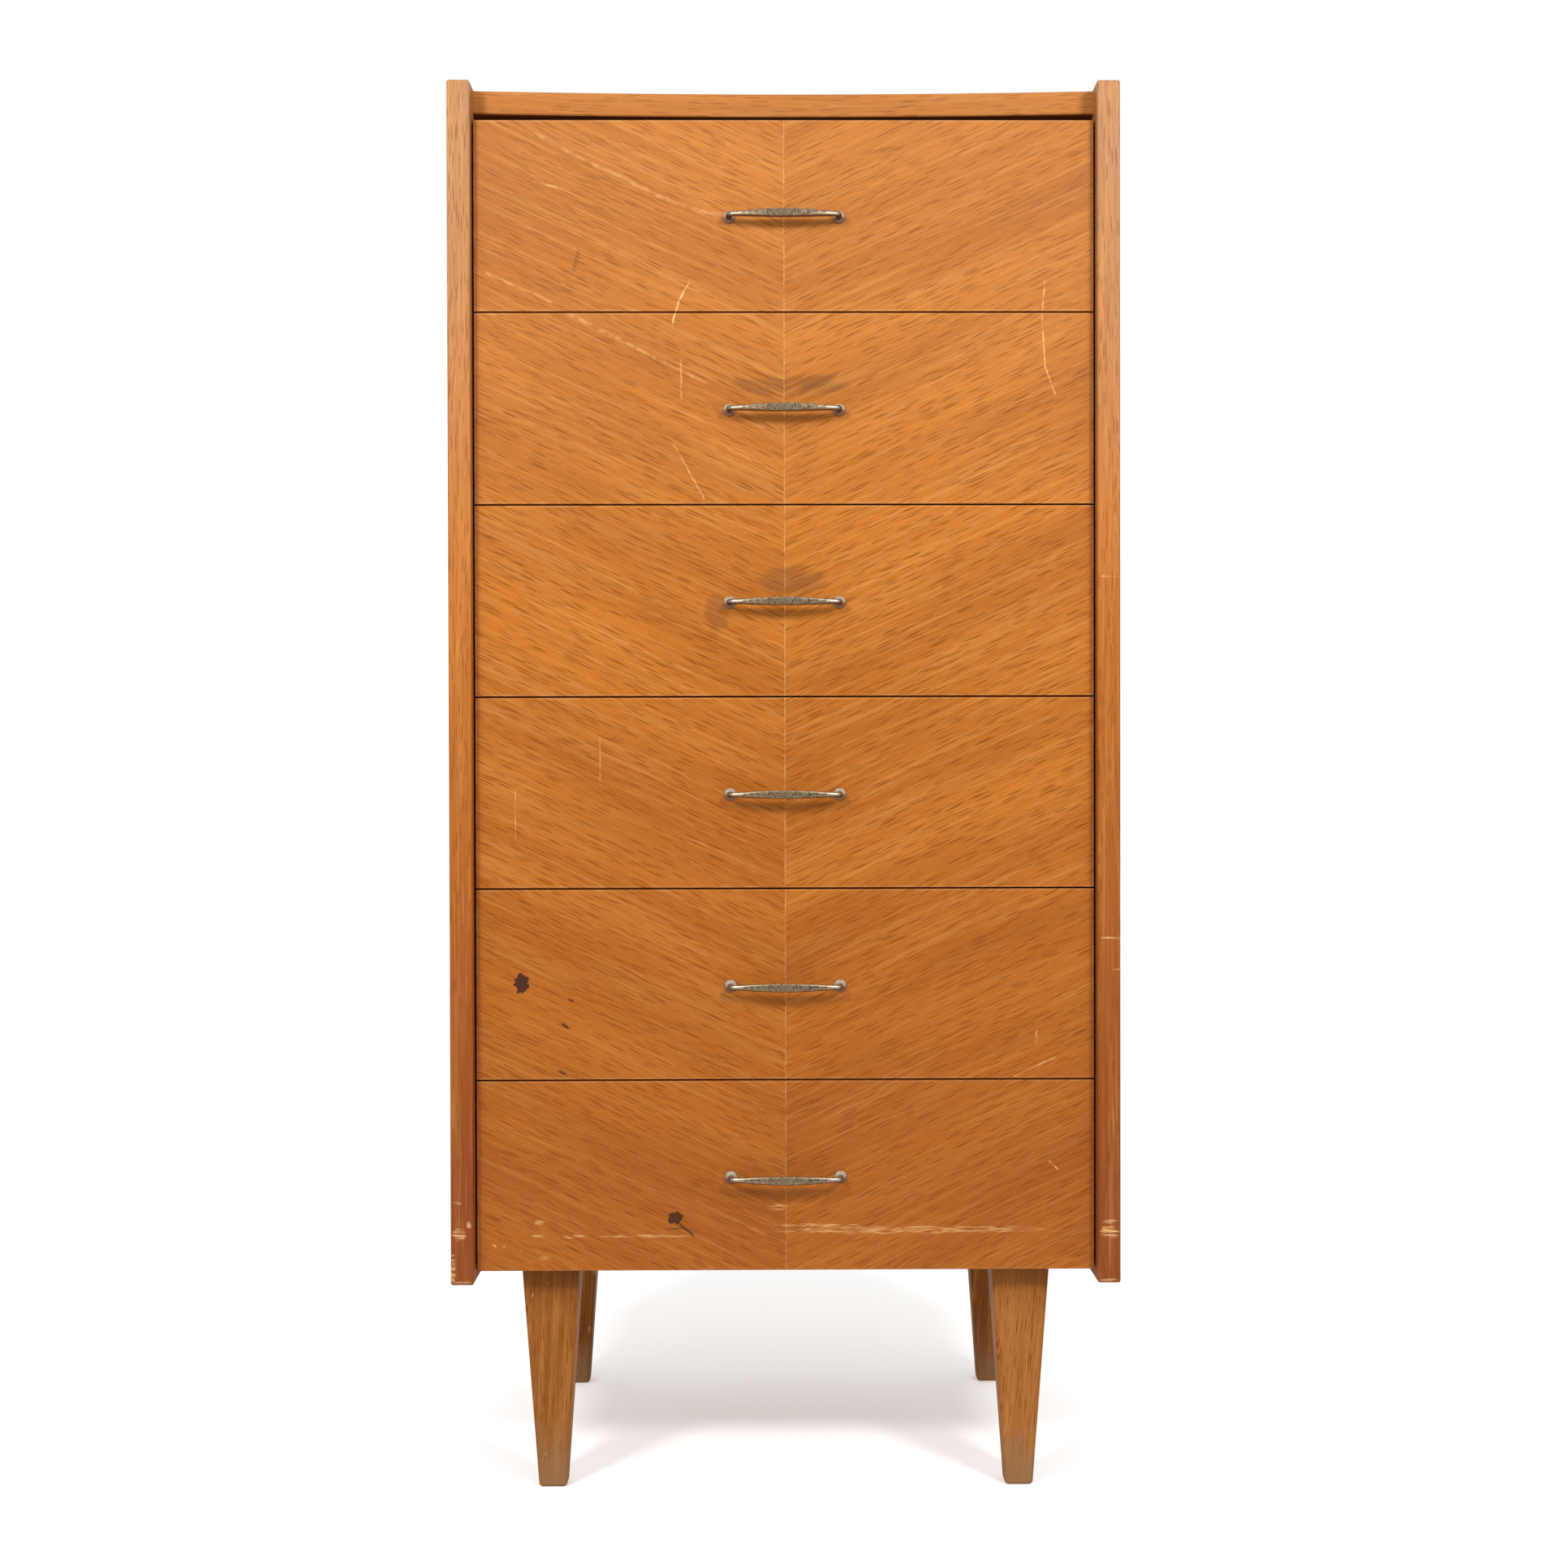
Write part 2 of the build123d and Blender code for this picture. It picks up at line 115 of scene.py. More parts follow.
# Pale scratches on the front of the chest: a chain of (x, z) places, half width and strength
SCRATCHES = (
    (((-0.217, 1.196), (-0.196, 1.185), (-0.096, 1.1355), (-0.056, 1.1255)), 0.0026, 0.26),
    (((-0.219, 1.155), (-0.193, 1.148)), 0.001, 0.45),
    (((-0.26, 1.075), (-0.203, 1.05)), 0.0016, 0.35),
    (((-0.082, 1.068), (-0.092, 1.05), (-0.098, 1.029)), 0.0012, 0.8),
    (((0.228, 1.068), (0.226, 1.036), (0.228, 0.995), (0.237, 0.969)), 0.0009, 0.6),
    (((-0.189, 1.0396), (-0.068, 0.979)), 0.002, 0.3),
    (((-0.09, 1.0), (-0.09, 0.965)), 0.001, 0.35),
    (((-0.097, 0.926), (-0.079, 0.894), (-0.07, 0.878)), 0.001, 0.45),
    (((-0.162, 0.67), (-0.162, 0.631)), 0.0008, 0.35),
    (((-0.236, 0.624), (-0.236, 0.581)), 0.0008, 0.35),
    (((0.22, 0.412), (0.22, 0.401)), 0.001, 0.6),
    (((0.2, 0.372), (0.237, 0.388)), 0.001, 0.4),
    (((-0.2578, 0.2258), (-0.2542, 0.2233)), 0.001, 0.9),
    (((-0.2482, 0.2228), (-0.2455, 0.2252)), 0.001, 0.8),
    (((0.231, 0.297), (0.2395, 0.289)), 0.0007, 0.6),
    (((0.276, 0.809), (0.2905, 0.8085)), 0.001, 0.5),
    (((0.2755, 0.4937), (0.291, 0.4935)), 0.0011, 0.6),
    (((0.2855, 0.466), (0.2915, 0.466)), 0.001, 0.6),
)

# Dark scrapes of old stains on the drawer fronts, in the same way
SCRAPES = (
    (((-0.19, 0.4405), (-0.186, 0.438)), 0.0014, 0.9),
    (((-0.196, 0.419), (-0.19, 0.415)), 0.0017, 0.9),
    (((-0.199, 0.3775), (-0.192, 0.3745)), 0.0021, 0.9),
    (((-0.093, 0.2425), (-0.081, 0.2325)), 0.0018, 0.9),
    (((-0.105, 0.2385), (-0.092, 0.2385)), 0.0012, 0.6),
    (((-0.179, 1.096), (-0.184, 1.077)), 0.0025, 0.3),
)

# Rubbed places, smudges by the handles and old stains: middle (x, z), half width, half height and strength
RUBS = (
    ((-0.285, 0.2365), 0.0065, 0.0055, 0.6),
    ((-0.2765, 0.245), 0.002, 0.004, 0.5),
    ((-0.2905, 0.206), 0.0025, 0.016, 0.5),
    ((-0.287, 0.264), 0.005, 0.0015, 0.45),
    ((-0.283, 0.194), 0.009, 0.002, 0.4),
    ((0.2825, 0.2365), 0.009, 0.0055, 0.75),
    ((0.2825, 0.246), 0.007, 0.002, 0.5),
    ((0.2825, 0.194), 0.009, 0.0022, 0.4),
    ((0.112, 0.2368), 0.13, 0.0038, 0.38),
    ((0.03, 0.2412), 0.042, 0.0016, 0.4),
    ((-0.008, 0.257), 0.01, 0.0032, 0.4),
    ((-0.216, 0.2443), 0.005, 0.003, 0.4),
    ((-0.215, 0.2327), 0.008, 0.0019, 0.5),
    ((-0.186, 0.232), 0.01, 0.0017, 0.5),
    ((-0.12, 0.2322), 0.045, 0.0014, 0.4),
    ((-0.2126, 0.213), 0.006, 0.0014, 0.4),
)
SMUDGES = (
    ((-0.02, 0.977), 0.03, 0.009, 0.3),
    ((0.034, 0.9775), 0.028, 0.0095, 0.42),
    ((0.006, 0.976), 0.052, 0.011, 0.26),
    ((0.006, 0.807), 0.03, 0.013, 0.42),
    ((-0.059, 0.78), 0.011, 0.02, 0.4),
)
STAINS = (
    ((-0.231, 0.454), 0.007, 0.0085, 0.95),
    ((-0.097, 0.248), 0.0068, 0.006, 0.9),
)

# Bow handles, sized like the CAD model's, with domed rosettes
HANDLE_HALF_SPACING = 0.048
HANDLE_STANDOFF = 0.0125
BAR_TILT = math.radians(11)
BAR_HALF_HEIGHT = 0.0037
BAR_HALF_DEPTH = 0.0025
BAR_SQUARENESS = 5.0
ROD_RADIUS = 0.0023
BEND_RADIUS = 0.0055
NECK_RADIUS = 0.0026
ROSETTE_RADIUS = 0.00565
ROSETTE_EDGE = 0.0008
ROSETTE_DOME = 0.0024
ROSETTE_FILLET = 0.0005
RING_POINTS = 32
DOME_STEPS = 8
BEND_STEPS = 12
BAR_STEPS = 18
DULL_FEET = (-0.0045, -0.0025)  # places on Y at which the dullness of the rosettes begins and is full
BRIGHT_ENDS = (0.03, 0.044)  # distances from the middle at which the bar's brighter ends, partly wear and partly painted highlight, begin and are full

# Nails of the back
NAIL_RADIUS = 0.0022
NAIL_INSET = 0.004
NAIL_PITCH = 0.12

# Colours in linear light
OAK_LIGHT = (0.325, 0.103, 0.0115)
OAK_DARK = (0.25, 0.073, 0.0072)
OAK_DEEP = (0.23, 0.067, 0.0066)
OAK_PALE = (0.37, 0.165, 0.038)
OAK_PORE = (0.125, 0.029, 0.0004)
# Pale wear of the seam and edges; on the edges of the fronts it is also a painted highlight
OAK_WORN_AND_HIGHLIGHT = (0.46, 0.26, 0.11)
# Painted sheen on the upper oak
OAK_SHEEN = (0.29, 0.16, 0.078)
# Painted shade on the oak: low down, beside the side lippings and on the edges of the fronts
OAK_SHADE = (0.16, 0.034, 0.006)
SCRATCH = (0.56, 0.34, 0.145)
SMUDGE = (0.075, 0.03, 0.011)
STAIN = (0.03, 0.01, 0.005)
LEG_LIGHT = (0.26, 0.098, 0.024)
LEG_DARK = (0.18, 0.062, 0.014)
# Painted shade: the darker tone of the rear legs' copy of the leg look
LEG_SHADED = (0.14, 0.046, 0.01)
# Painted shadow at the tops of the legs
LEG_SHADE = (0.075, 0.022, 0.004)
LEG_WORN = (0.19, 0.1, 0.046)
LEG_FLECK = (0.4, 0.24, 0.12)
BOX_LIGHT = (0.47, 0.3, 0.14)
BOX_DARK = (0.37, 0.22, 0.094)
BOX_PORE = (0.24, 0.13, 0.052)
SHEET_LIGHT = (0.42, 0.255, 0.115)
SHEET_DARK = (0.32, 0.18, 0.075)
SHEET_STAINED = (0.25, 0.135, 0.058)
NAIL_RUST = (0.055, 0.038, 0.027)
BEECH_LIGHT = (0.43, 0.25, 0.12)
BEECH_DARK = (0.34, 0.18, 0.078)
PATINA_DARK = (0.075, 0.056, 0.036)
PATINA_GREY = (0.22, 0.168, 0.102)
PATINA_BROWN = (0.17, 0.088, 0.045)
# Painted reflection of the brown wood in the brass
WOOD_REFLECTION = (0.11, 0.043, 0.018)
# Bright brass: wear, and a painted highlight
BRASS_RUB_AND_HIGHLIGHT = (0.48, 0.41, 0.31)
STEEL_LIGHT = (0.42, 0.41, 0.39)
STEEL_DARK = (0.2, 0.185, 0.165)


class Field:
    """A number at each point of a surface, worked out by math nodes."""

    def __init__(self, tree, socket):
        self.tree = tree
        self.socket = socket

    def math(self, operation, *others):
        node = self.tree.nodes.new("ShaderNodeMath")
        node.operation = operation
        for slot, value in zip(node.inputs, (self, *others)):
            plug(self.tree, value, slot)
        return Field(self.tree, node.outputs[0])

    def __add__(self, other):
        return self.math("ADD", other)

    def __sub__(self, other):
        return self.math("SUBTRACT", other)

    def __mul__(self, other):
        return self.math("MULTIPLY", other)

    def __neg__(self):
        return self * -1.0

    def __abs__(self):
        return self.math("ABSOLUTE")

    def lesser(self, other):
        return self.math("MINIMUM", other)

    def greater(self, other):
        return self.math("MAXIMUM", other)

    def sign(self):
        return self.math("SIGN")

    def rise(self, low, high):
        """0 below low, 1 above high and a smooth rise between them; high may be the smaller."""
        node = self.tree.nodes.new("ShaderNodeMapRange")
        node.interpolation_type = "SMOOTHSTEP"
        plug(self.tree, self, node.inputs["Value"])
        plug(self.tree, low, node.inputs["From Min"])
        plug(self.tree, high, node.inputs["From Max"])
        return Field(self.tree, node.outputs[0])


def plug(tree, value, slot):
    """Feeds a field or another socket into a node's input, or sets a constant on it."""
    if isinstance(value, Field):
        tree.links.new(value.socket, slot)
    elif isinstance(value, bpy.types.NodeSocket):
        tree.links.new(value, slot)
    else:
        slot.default_value = value


class Look:
    """A material under construction."""

    def __init__(self, name, **shader):
        self.material = bpy.data.materials.new(name)
        self.material.use_nodes = True
        self.tree = self.material.node_tree
        self.shader = self.tree.nodes["Principled BSDF"]
        for socket, value in shader.items():
            self.shader.inputs[socket.replace("_", " ").title().replace("Ior", "IOR")].default_value = value
        place = self.tree.nodes.new("ShaderNodeTexCoord")
        split = self.tree.nodes.new("ShaderNodeSeparateXYZ")
        self.tree.links.new(place.outputs["Object"], split.inputs[0])
        self.x, self.y, self.z = (Field(self.tree, socket) for socket in split.outputs)

    def facing(self):
        """The surface's direction on each axis."""
        geometry = self.tree.nodes.new("ShaderNodeNewGeometry")
        split = self.tree.nodes.new("ShaderNodeSeparateXYZ")
        self.tree.links.new(geometry.outputs["Normal"], split.inputs[0])
        return [Field(self.tree, socket) for socket in split.outputs]

    def pattern(self, kind, a, b, c):
        """A texture node read at a point with three coordinates."""
        point = self.tree.nodes.new("ShaderNodeCombineXYZ")
        for slot, value in zip(point.inputs, (a, b, c)):
            plug(self.tree, value, slot)
        node = self.tree.nodes.new(kind)
        node.inputs["Scale"].default_value = 1.0
        self.tree.links.new(point.outputs[0], node.inputs["Vector"])
        return node

    def noise(self, a, b, c, detail=2.0, roughness=0.5):
        """Noise between 0 and 1."""
        node = self.pattern("ShaderNodeTexNoise", a, b, c)
        node.inputs["Detail"].default_value = detail
        node.inputs["Roughness"].default_value = roughness
        return Field(self.tree, node.outputs[0])

    def face_noise(self, repeats, layer, detail):
        """Noise over the front or the back of the chest."""
        return self.noise(self.x * repeats, self.z * repeats, layer, detail)

    def solid_noise(self, repeats, detail, roughness=0.5):
        """Noise of the same size in all directions."""
        return self.noise(self.x * repeats, self.y * repeats, self.z * repeats, detail, roughness)

    def specks(self, a, b, c):
        """1 in small balls, scattered one to each unit cube, and 0 between them."""
        node = self.pattern("ShaderNodeTexVoronoi", a, b, c)
        return Field(self.tree, node.outputs["Distance"]).rise(0.32, 0.2)

    def mix(self, share, first, second):
        """The first colour where the share is 0, and the second where it is 1."""
        node = self.tree.nodes.new("ShaderNodeMix")
        node.data_type = "RGBA"
        plug(self.tree, share, node.inputs[0])
        for slot, colour in ((node.inputs[6], first), (node.inputs[7], second)):
            plug(self.tree, (*colour, 1.0) if isinstance(colour, tuple) else colour, slot)
        return node.outputs[2]

    def finish(self, colour, roughness, height, depth):
        """Feeds the shader: the height field stands up to the given depth."""
        plug(self.tree, colour, self.shader.inputs["Base Color"])
        plug(self.tree, roughness, self.shader.inputs["Roughness"])
        bump = self.tree.nodes.new("ShaderNodeBump")
        bump.inputs["Strength"].default_value = 1.0
        bump.inputs["Distance"].default_value = depth
        plug(self.tree, height, bump.inputs["Height"])
        self.tree.links.new(bump.outputs[0], self.shader.inputs["Normal"])
        return self.material


def grain_axes(look, along):
    """Coordinates along the grain, across it and through its layers, for grain along one axis."""
    axes = {"x": look.x, "y": look.y, "z": look.z}
    first, second = (axes[a] for a in "xyz" if a != along)
    return axes[along], first + second * GRAIN_SKEW, first * GRAIN_CHANGE


def oak(look, along, across, layer, light, dark, open_pores, pale=OAK_PALE, pore=OAK_PORE):
    """Colour, height and streaks of oak whose grain runs along one coordinate."""
    wave = look.noise(along * WAVES[0], across * WAVES[1], layer, 1.0)
    wavy = across + (wave - 0.5) * WAVE_WIDTH

    def at(repeats):
        return along * repeats[0], wavy * repeats[1]

    bands = look.noise(*at(BANDS), layer)
    streaks = look.noise(*at(STREAKS), layer, 3.0)
    lines = look.noise(*at(LINES), layer + 5.0, 1.0)
    fibres = look.noise(*at(FIBRES), layer)
    coarse = look.specks(*at(COARSE_PORES), layer + 3.0)
    fine = look.specks(*at(FINE_PORES), layer + 13.0)
    pores = coarse.greater(fine * 0.6)
    colour = look.mix(bands.rise(0.28, 0.72), dark, light)
    colour = look.mix(streaks.rise(0.45, 0.75) * 0.34, colour, pale)
    colour = look.mix(lines.rise(0.6, 0.34) * 0.2, colour, pore)
    colour = look.mix(lines.rise(0.6, 0.75) * 0.4, colour, pale)
    colour = look.mix(fibres.rise(0.42, 0.78) * 0.14, colour, pore)
    colour = look.mix(pores * open_pores, colour, pore)
    return colour, fibres * 0.35 - pores, streaks


def painted_sheen_and_shade(look, colour, sheen_share, shade_share):
    """Oak painted paler towards the top as a sheen, and painted darker towards the bottom as shade."""
    colour = look.mix(look.z.rise(*SHEEN_HEIGHTS) * sheen_share, colour, OAK_SHEEN)
    return look.mix(look.z.rise(*SHADE_HEIGHTS) * shade_share, colour, OAK_SHADE)


def stroke(look, start, end, half_width, layer, gaps):
    """1 along a wandering line between two places (x, z), and 0 elsewhere and in its gaps."""
    length = math.dist(start, end)
    step_x = (end[0] - start[0]) / length
    step_z = (end[1] - start[1]) / length
    x = look.x - start[0]
    z = look.z - start[1]
    along = x * step_x + z * step_z
    wander = look.face_noise(WANDER, layer, 1.0)
    off = z * step_x - x * step_z + (wander - 0.5) * (half_width * 2)
    broken = look.face_noise(GAPS, layer + 0.5, 3.0)
    ends = along.rise(-half_width, half_width) * along.rise(length + half_width, length - half_width)
    whole = broken.rise(0.34, 0.66) * gaps + (1 - gaps)
    return abs(off).rise(half_width, half_width * 0.3) * ends * whole


def patch(look, place, half_width, half_height, inner, ragged):
    """1 in the inner share of a spot about a place (x, z), and 0 outside its ragged edge."""
    x = (look.x - place[0]) * (1 / half_width)
    z = (look.z - place[1]) * (1 / half_height)
    return (x * x + z * z + (ragged - 0.5) * 2.4).rise(1.1, inner)


def scratched(look, colour, low, high, streaks):
    """The marks of wear between two corners of a piece's box."""
    def near(*places):
        x, z = zip(*places)
        return max(x) > low.x and min(x) < high.x and max(z) > low.z and min(z) < high.z

    scuffs = look.noise(look.x * SCUFFS[0], look.z * SCUFFS[1], 1.0, 3.0)
    crumbs = look.face_noise(CRUMBS, 2.0, 3.0)
    kinds = (
        (SMUDGES, 0.3, streaks, 0.4, SMUDGE),
        (STAINS, 0.7, crumbs, 0.0, STAIN),
        (RUBS, 0.0, scuffs, 1.0, SCRATCH),
    )
    for spots, inner, ragged, gaps, tint in kinds:
        for place, half_width, half_height, strength in spots:
            if near(place):
                spot = patch(look, place, half_width, half_height, inner, ragged)
                spot *= ragged.rise(0.62, 0.38) * gaps + (1 - gaps)
                colour = look.mix(spot * strength, colour, tint)
    layer = 0.0
    for marks, gaps, tint in ((SCRAPES, 0.2, STAIN), (SCRATCHES, 0.85, SCRATCH)):
        for chain, half_width, strength in marks:
            for start, end in zip(chain, chain[1:]):
                layer += 1.0
                if near(start, end):
                    mark = stroke(look, start, end, half_width, layer, gaps)
                    colour = look.mix(mark * strength, colour, tint)
    return colour


def lacquer(streaks):
    """Satin lacquer, a little uneven along the grain."""
    return streaks * 0.16 + 0.4


def bare(streaks):
    """Bare wood, a little uneven along the grain."""
    return streaks * 0.2 + 0.55


def front_look(number):
    """Book-matched veneer of one drawer front, its seam in the middle."""
    look = Look(f"oak_front_{number}", specular_ior_level=0.08)
    low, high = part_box(f"drawer_{number}_front")
    side = look.x.sign()
    out = abs(look.x)
    along = out * math.cos(CHEVRON_SLOPE) + look.z * math.sin(CHEVRON_SLOPE)
    across = look.z * math.cos(CHEVRON_SLOPE) - out * math.sin(CHEVRON_SLOPE)
    colour, height, streaks = oak(look, along, across, side * 0.35 + 0.9, OAK_LIGHT, OAK_DARK, 0.75)
    rub = look.face_noise(WANDER, float(number), 3.0)
    seam = out.rise(SEAM_HALF_WIDTH, SEAM_HALF_WIDTH * 0.5) * (rub.rise(0.3, 0.7) * 0.42 + 0.06)
    colour = look.mix(seam, colour, OAK_WORN_AND_HIGHLIGHT)
    beside = -out + high.x
    # Painted shade along the sides of the front, in the recess beside the proud side lippings
    colour = look.mix(beside.rise(SHADED_SIDE, 0.0) * 0.4, colour, OAK_SHADE)
    edge = (look.z - low.z).lesser(-look.z + high.z).lesser(beside)
    # Paler edges: partly wear, partly a painted highlight of light caught on the rounded edges
    worn = edge.rise(*EDGE_WEAR_AND_HIGHLIGHT) * rub.rise(0.3, 0.7) * 0.3
    colour = look.mix(worn, colour, OAK_WORN_AND_HIGHLIGHT)
    # Painted shade on the edges of the front, where the gaps between the fronts fall dark
    colour = look.mix(edge.rise(SHADED_EDGE, 0.0) * 0.6, colour, OAK_SHADE)
    # Painted sheen towards the top of the chest and painted shade towards the bottom
    colour = painted_sheen_and_shade(look, colour, 0.16, 0.34)
    colour = scratched(look, colour, low, high, streaks)
    return look.finish(colour, lacquer(streaks), height, LACQUERED_DEPTH)


def board_look(name, along):
    """Straight-grained oak, with the grain along one axis of the chest."""
    look = Look(name, specular_ior_level=0.06)
    colour, height, streaks = oak(look, *grain_axes(look, along), OAK_LIGHT, OAK_DEEP, 0.6)
    # Painted sheen towards the top of the chest and painted shade towards the bottom
    colour = painted_sheen_and_shade(look, colour, 0.22, 0.5)
    return look.finish(colour, lacquer(streaks), height, LACQUERED_DEPTH)


def lipping_look(node):
    """Front edge of a side panel: paler above from a strong painted sheen, darker below from painted shade,
    and knocked below.
    """
    look = Look(f"oak_{node}", specular_ior_level=0.12)
    # Strong painted sheen towards the top and painted shade towards the bottom, on both tones of the grain
    light, dark = (painted_sheen_and_shade(look, tint, 0.8, 1.0) for tint in (OAK_LIGHT, OAK_DARK))
    colour, height, streaks = oak(look, *grain_axes(look, "z"), light, dark, 0.6)
    colour = scratched(look, colour, *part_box(node), streaks)
    return look.finish(colour, lacquer(streaks), height, LACQUERED_DEPTH)


def leg_look(name, light, dark):
    """Oak legs, with painted shadow at their tops under the chest, and worn grey and pale towards their feet.
    """
    look = Look(name, specular_ior_level=0.03)
    colour, height, streaks = oak(look, *grain_axes(look, "z"), light, dark, 0.7)
    rub = look.noise(look.x * LEG_RUB[0], look.y * LEG_RUB[1], look.z * LEG_RUB[2], 4.0)
    # Painted shadow at the tops of the legs, under the chest
    colour = look.mix((look.z + (rub - 0.5) * 0.04).rise(*LEG_SHADE_HEIGHTS) * 0.5, colour, LEG_SHADE)
    worn = (look.z + (rub - 0.5) * 0.08).rise(*LEG_WORN_HEIGHTS)
    colour = look.mix(worn * 0.8, colour, LEG_WORN)
    colour = look.mix(rub.rise(0.68, 0.74) * 0.5, colour, LEG_FLECK)
    return look.finish(colour, lacquer(streaks) + worn * 0.25, height, LEG_DEPTH)


def plain_wood_look(name, along, light, dark, pore):
    """Bare close-grained wood of the drawer boxes, runners and sheets."""
    look = Look(name, specular_ior_level=0.2)
    colour, height, streaks = oak(look, *grain_axes(look, along), light, dark, 0.4, light, pore)
    return look.finish(colour, bare(streaks), height, BARE_DEPTH)


def nail_heads(off, along):
    """1 in the nail heads of a row, 0 elsewhere, from the distance off its line and the place along it."""
    step = ((along * (1 / NAIL_PITCH)).math("FRACT") - 0.5) * NAIL_PITCH
    return (off * off + step * step).rise(NAIL_RADIUS**2, NAIL_RADIUS**2 * 0.6)


def back_look():
    """Plywood back, with the heads of the nails that hold it in its rebates."""
    look = Look("plywood_back", specular_ior_level=0.2)
    low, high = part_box("back_panel")
    across = look.z + look.y * GRAIN_SKEW
    layer = look.z * GRAIN_CHANGE
    colour, height, streaks = oak(
        look, look.x, across, layer, SHEET_LIGHT, SHEET_DARK, 0.4, SHEET_LIGHT, BOX_PORE,
    )
    nails = nail_heads(abs(look.x) - (high.x - NAIL_INSET), look.z)
    nails = nails.greater(nail_heads(look.z - (high.z - NAIL_INSET), look.x))
    nails = nails.greater(nail_heads(look.z - (low.z + 2 * NAIL_INSET), look.x))
    nails = nails * look.facing()[1].rise(0.5, 0.9)
    dusty = look.face_noise(SHEET_DUST, 0.0, 4.0).rise(0.4, 0.75)
    colour = look.mix(dusty * 0.35, colour, SHEET_STAINED)
    colour = look.mix(nails, colour, NAIL_RUST)
    return look.finish(colour, bare(streaks) - nails * 0.25, height + nails * 4.0, BARE_DEPTH)


def brass_look():
    """Old nickelled brass: speckled, with a painted highlight on its upward faces, brighter ends that are
    partly wear and partly painted highlight, a painted reflection of the brown wood on its downward faces,
    and dull feet.
    """
    look = Look("brass_patina", metallic=1.0)
    speckle = look.solid_noise(BRASS_SPECKLE, 4.0, 0.7)
    cloud = look.solid_noise(BRASS_CLOUD, 3.0)
    up = look.facing()[2]
    foot = look.y.rise(*DULL_FEET)
    colour = look.mix(speckle.rise(0.36, 0.6), PATINA_DARK, PATINA_GREY)
    colour = look.mix(cloud.rise(0.45, 0.7) * 0.4, colour, PATINA_BROWN)
    # Painted highlight on the upward faces, and brighter ends that are partly wear and partly painted
    # highlight
    rub_and_highlight = up.rise(0.2, 0.8).greater(abs(look.x).rise(*BRIGHT_ENDS) * 0.7) * speckle.rise(0.25, 0.5)
    colour = look.mix(rub_and_highlight * (foot * -0.3 + 0.75), colour, BRASS_RUB_AND_HIGHLIGHT)
    # Painted reflection of the brown wood on the downward faces, reaching onto the fronts of the feet
    colour = look.mix((up - foot * 0.3).rise(0.0, -0.6) * 0.9, colour, WOOD_REFLECTION)
    plug(look.tree, foot * -0.5 + 1.0, look.shader.inputs["Metallic"])
    return look.finish(colour, speckle * 0.3 + 0.2 + foot * 0.25, speckle, BRASS_DEPTH)


def steel_look():
    """Dull steel of screws and bolts."""
    look = Look("steel_dull", metallic=1.0)
    cloud = look.solid_noise(STEEL_CLOUD, 3.0)
    colour = look.mix(cloud.rise(0.3, 0.7), STEEL_DARK, STEEL_LIGHT)
    return look.finish(colour, cloud * 0.25 + 0.3, cloud, STEEL_DEPTH)


def floor_look():
    """Pale matt studio floor."""
    white = (1.0, 1.0, 1.0, 1.0)
    look = Look("studio_floor", specular_ior_level=0.1, emission_color=white, emission_strength=FLOOR_GLOW)
    cloud = look.noise(look.x * FLOOR_CLOUD, look.y * FLOOR_CLOUD, 0.0, 4.0)
    shade = tuple(c * 0.985 for c in FLOOR_COLOUR)
    colour = look.mix(cloud.rise(0.3, 0.7), shade, FLOOR_COLOUR)
    return look.finish(colour, cloud * 0.1 + 0.7, cloud, FLOOR_DEPTH)


def handle_rings():
    """Rings of the right half of a handle, from its rosette to the middle of the bar.

    Each ring is its centre along the bar and out from the drawer, the angle that its axis has turned from the
    post, its half height and half depth, and the power of its outline (2 is an ellipse).
    """
    turn = math.pi / 2 - BAR_TILT
    bend_out = HANDLE_STANDOFF - BEND_RADIUS * math.sin(turn)
    post = [(0.0, ROSETTE_RADIUS)]
    for i in range(DOME_STEPS + 1):
        radius = ROSETTE_RADIUS + (NECK_RADIUS + ROSETTE_FILLET - ROSETTE_RADIUS) * i / DOME_STEPS
        post.append((ROSETTE_EDGE + ROSETTE_DOME * (1 - (radius / ROSETTE_RADIUS) ** 2), radius))
    post.append((post[-1][0] + ROSETTE_FILLET * 0.6, NECK_RADIUS + ROSETTE_FILLET * 0.25))
    post.append((post[-1][0] + ROSETTE_FILLET, NECK_RADIUS))
    rings = [(HANDLE_HALF_SPACING, out, 0.0, r, r, 2.0) for out, r in post]
    middle = HANDLE_HALF_SPACING - BEND_RADIUS
    for i in range(BEND_STEPS + 1):
        angle = turn * i / BEND_STEPS
        place = (middle + BEND_RADIUS * math.cos(angle), bend_out + BEND_RADIUS * math.sin(angle))
        radius = NECK_RADIUS + (ROD_RADIUS - NECK_RADIUS) * i / BEND_STEPS
        rings.append((*place, angle, radius, radius, 2.0))
    reach = HANDLE_HALF_SPACING - BEND_RADIUS * (1 - math.cos(turn))
    bow_radius = reach / math.sin(BAR_TILT)
    bow_middle = HANDLE_STANDOFF - bow_radius * math.cos(BAR_TILT)
    for i in range(1, BAR_STEPS + 1):
        share = 1 - i / BAR_STEPS
        angle = BAR_TILT * share
        swell = (1 - share**2) ** 1.5
        half_height = ROD_RADIUS + (BAR_HALF_HEIGHT - ROD_RADIUS) * swell
        half_depth = ROD_RADIUS + (BAR_HALF_DEPTH - ROD_RADIUS) * swell
        power = 2.0 + (BAR_SQUARENESS - 2.0) * swell
        place = (bow_radius * math.sin(angle), bow_middle + bow_radius * math.cos(angle))
        rings.append((*place, math.pi / 2 - angle, half_height, half_depth, power))
    return rings


